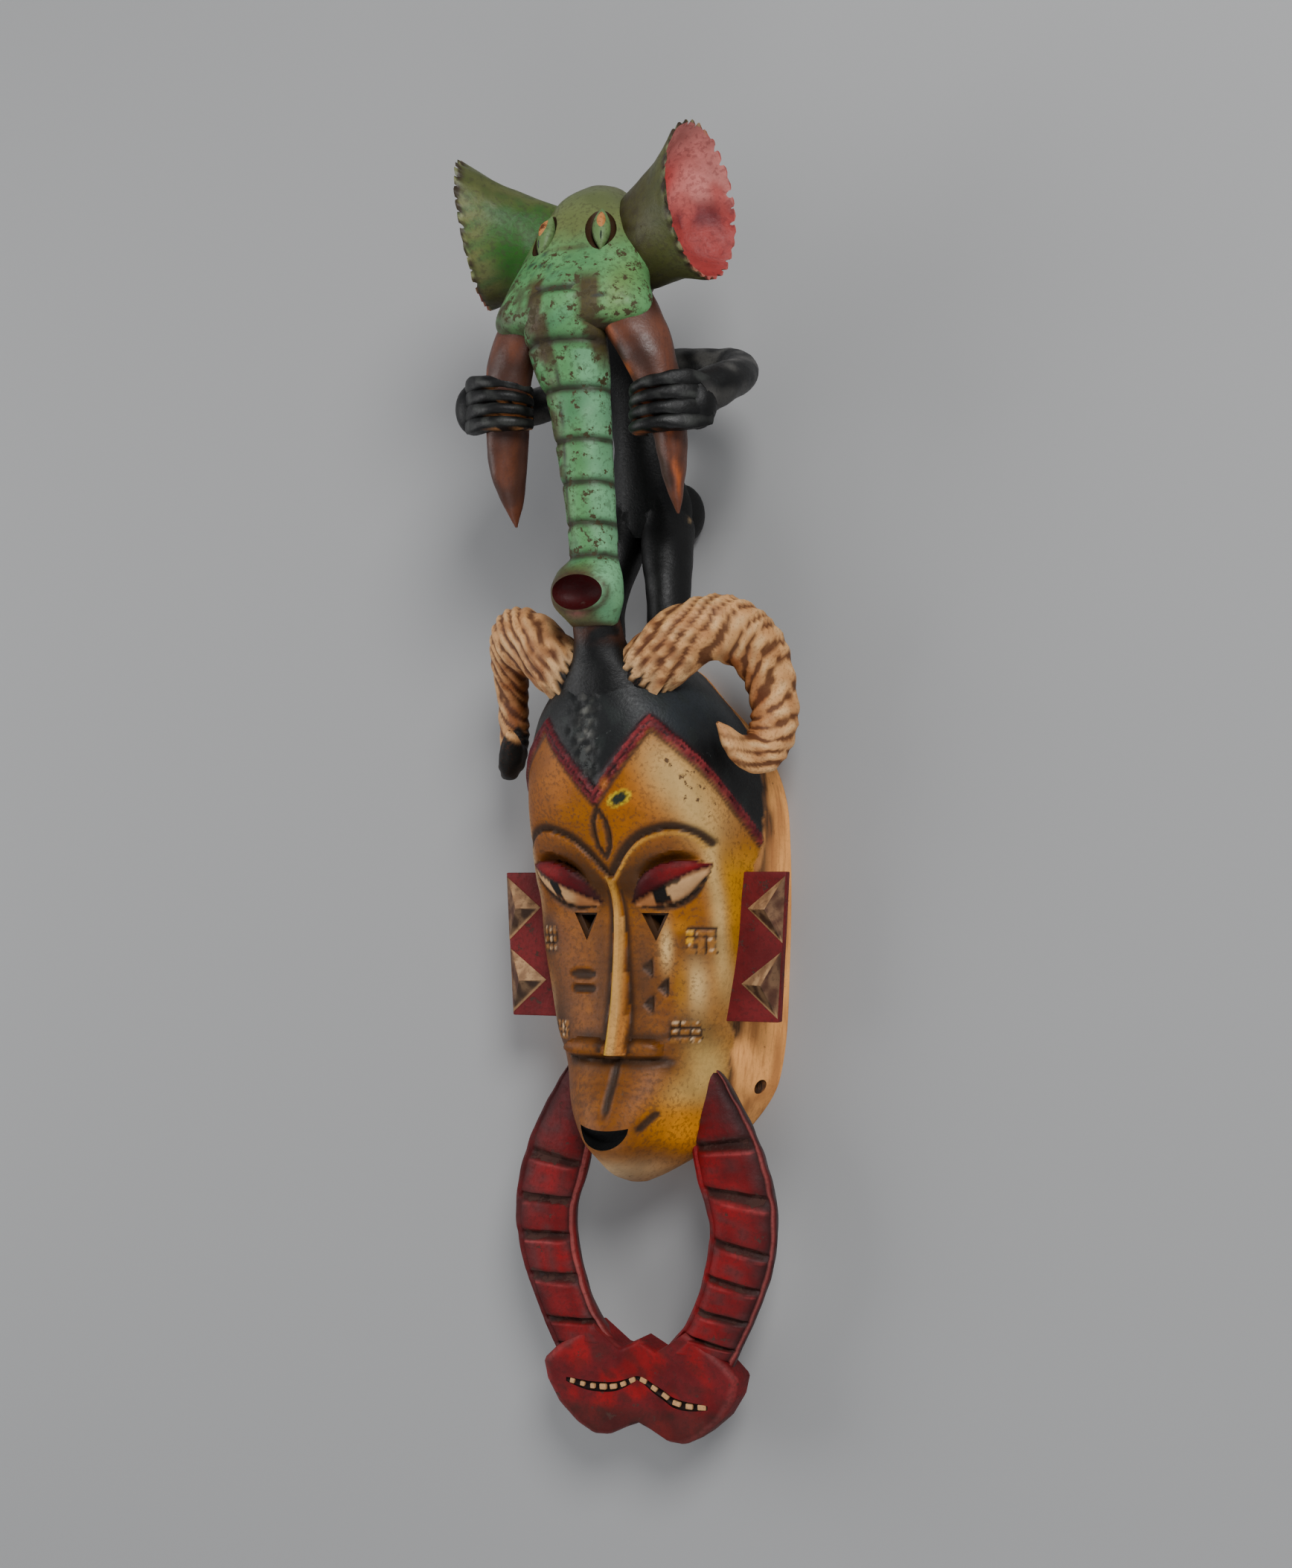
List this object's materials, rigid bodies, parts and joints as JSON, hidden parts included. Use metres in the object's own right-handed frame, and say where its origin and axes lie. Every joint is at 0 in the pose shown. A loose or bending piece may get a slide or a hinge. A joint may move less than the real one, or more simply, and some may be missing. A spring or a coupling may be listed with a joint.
{
  "type": "senufo mask",
  "caption": "Carved wooden face mask, hollow behind, with flat ears, fluted horns, a ring of two snakes below and an elephant head with tusks and a long trunk on top.",
  "frame": {"origin": "centre of the object's bounding box in X and Y, on the floor plane that the mask's back lies on", "axes": "+Y from the snakes' end up to the elephant's crown, +Z out of the mask's front, +X towards the right side of the picture"},
  "size_m": [0.1946, 0.7327, 0.1598],
  "materials": {
    "painted_wood": "matt painted and worn"
  },
  "bodies": {
    "root": {"mask": "painted_wood"}
  },
  "joints": []
}
